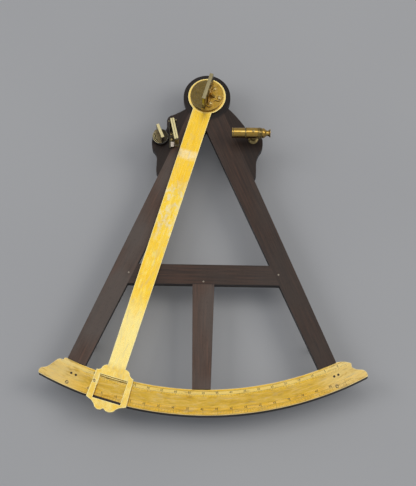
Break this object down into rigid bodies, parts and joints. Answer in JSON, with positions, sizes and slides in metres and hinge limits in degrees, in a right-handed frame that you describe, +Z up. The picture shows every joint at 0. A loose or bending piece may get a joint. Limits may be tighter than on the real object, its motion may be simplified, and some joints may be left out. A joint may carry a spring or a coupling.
{
  "type": "nautical octant",
  "caption": "Wooden framed navigation octant with a brass index arm over a graduated brass arc, two mirrors, hinged shades and a short sighting telescope.",
  "frame": {"origin": "on the resting surface under the middle of the bounding box", "axes": "+X to the right with the graduated face up, +Y from the arc towards the head and pivot, +Z up out of the graduated face"},
  "size_m": [0.4456, 0.4928, 0.091],
  "materials": {
    "dark_wood": "oiled, very dark close-grained hardwood",
    "peg_wood": "pale bone-like pegs",
    "scale_brass": "worn satin, engraved",
    "arm_brass": "worn satin, mottled",
    "fitting_brass": "old satin",
    "aged_brass": "tarnished",
    "lacquered_brass": "glossy old lacquer",
    "pin_metal": "dark",
    "mirror_glass": "silvered glass",
    "lens_glass": "clear",
    "green_glass": "coloured",
    "red_glass": "coloured"
  },
  "bodies": {
    "frame": {"left_limb": "dark_wood", "right_limb": "dark_wood", "left_ear": "dark_wood", "right_ear": "dark_wood", "cross_brace": "dark_wood", "centre_brace": "dark_wood", "brace_pegs": "peg_wood", "arc_wood": "dark_wood", "scale_plate": "scale_brass", "arc_pins": "pin_metal", "pivot_bush": "fitting_brass", "head_plate": "aged_brass", "back_plate": "aged_brass", "back_plate_screws": "fitting_brass", "left_foot": "aged_brass", "right_foot": "aged_brass", "head_foot": "aged_brass", "horizon_bush": "fitting_brass", "lock_bush": "fitting_brass", "shade_bracket": "aged_brass", "shade_bracket_screws": "fitting_brass", "shade_pin": "fitting_brass", "telescope_pillar": "aged_brass", "telescope_collar": "lacquered_brass", "objective_tube": "lacquered_brass", "objective_lens": "lens_glass", "telescope_end_cap": "lacquered_brass", "collar_screw": "fitting_brass"},
    "index": {"index_arm": "arm_brass", "pivot_shaft": "fitting_brass", "pivot_washer": "aged_brass", "pivot_nut": "aged_brass", "vernier_plate": "arm_brass", "vernier_screw": "fitting_brass", "clamp_bracket": "aged_brass", "mirror_table": "aged_brass", "index_mirror_frame": "fitting_brass", "index_mirror_glass": "mirror_glass", "index_mirror_bracket": "fitting_brass", "mirror_bracket_screws": "fitting_brass"},
    "clamp_slide": {"clamp_shoe": "aged_brass"},
    "clamp_thumbscrew": {"clamp_screw": "fitting_brass"},
    "horizon": {"horizon_base": "aged_brass", "horizon_frame": "fitting_brass", "horizon_glass": "mirror_glass", "horizon_lever": "aged_brass"},
    "horizon_lock": {"horizon_lock_screw": "fitting_brass"},
    "dark_shade": {"dark_shade_frame": "fitting_brass", "dark_shade_glass": "green_glass"},
    "light_shade": {"light_shade_frame": "fitting_brass", "light_shade_glass": "red_glass"},
    "eyepiece": {"draw_tube": "lacquered_brass", "eye_cup": "lacquered_brass", "eye_lens": "lens_glass"}
  },
  "joints": [
    {"name": "index_swing", "type": "hinge", "parent": "frame", "child": "index", "pos_m": [-0.00204, 0.2136, 0.048], "axis": [0, 0, 1], "range_deg": [-4.5, 42]},
    {"name": "clamp_travel", "type": "slide", "parent": "index", "child": "clamp_slide", "axis": [0, 0, -1], "range_m": [0, 0.0008]},
    {"name": "clamp_turn", "type": "hinge", "parent": "clamp_slide", "child": "clamp_thumbscrew", "pos_m": [-0.12637, -0.21576, 0.028], "axis": [0, 0, 1], "range_deg": [0, 480.5]},
    {"name": "horizon_turn", "type": "hinge", "parent": "frame", "child": "horizon", "pos_m": [-0.06554, 0.1515, 0.048], "axis": [0, 0, 1], "range_deg": [-5, 5]},
    {"name": "horizon_lock_turn", "type": "hinge", "parent": "frame", "child": "horizon_lock", "pos_m": [-0.0587, 0.13271, 0.033], "axis": [0, 0, 1], "range_deg": [0, 180]},
    {"name": "dark_shade_swing", "type": "hinge", "parent": "frame", "child": "dark_shade", "pos_m": [-0.04894, 0.1654, 0.079], "axis": [-0.9755, -0.2198, 0], "range_deg": [0, 150]},
    {"name": "light_shade_swing", "type": "hinge", "parent": "frame", "child": "light_shade", "pos_m": [-0.04894, 0.1654, 0.079], "axis": [-0.9755, -0.2198, 0], "range_deg": [0, 150]},
    {"name": "eyepiece_focus", "type": "slide", "parent": "frame", "child": "eyepiece", "axis": [1, 0, 0], "range_m": [0, 0.008]}
  ],
  "couplings": [
    {"joint": "clamp_turn", "follows": "clamp_travel", "rad_per_m": 10472}
  ]
}
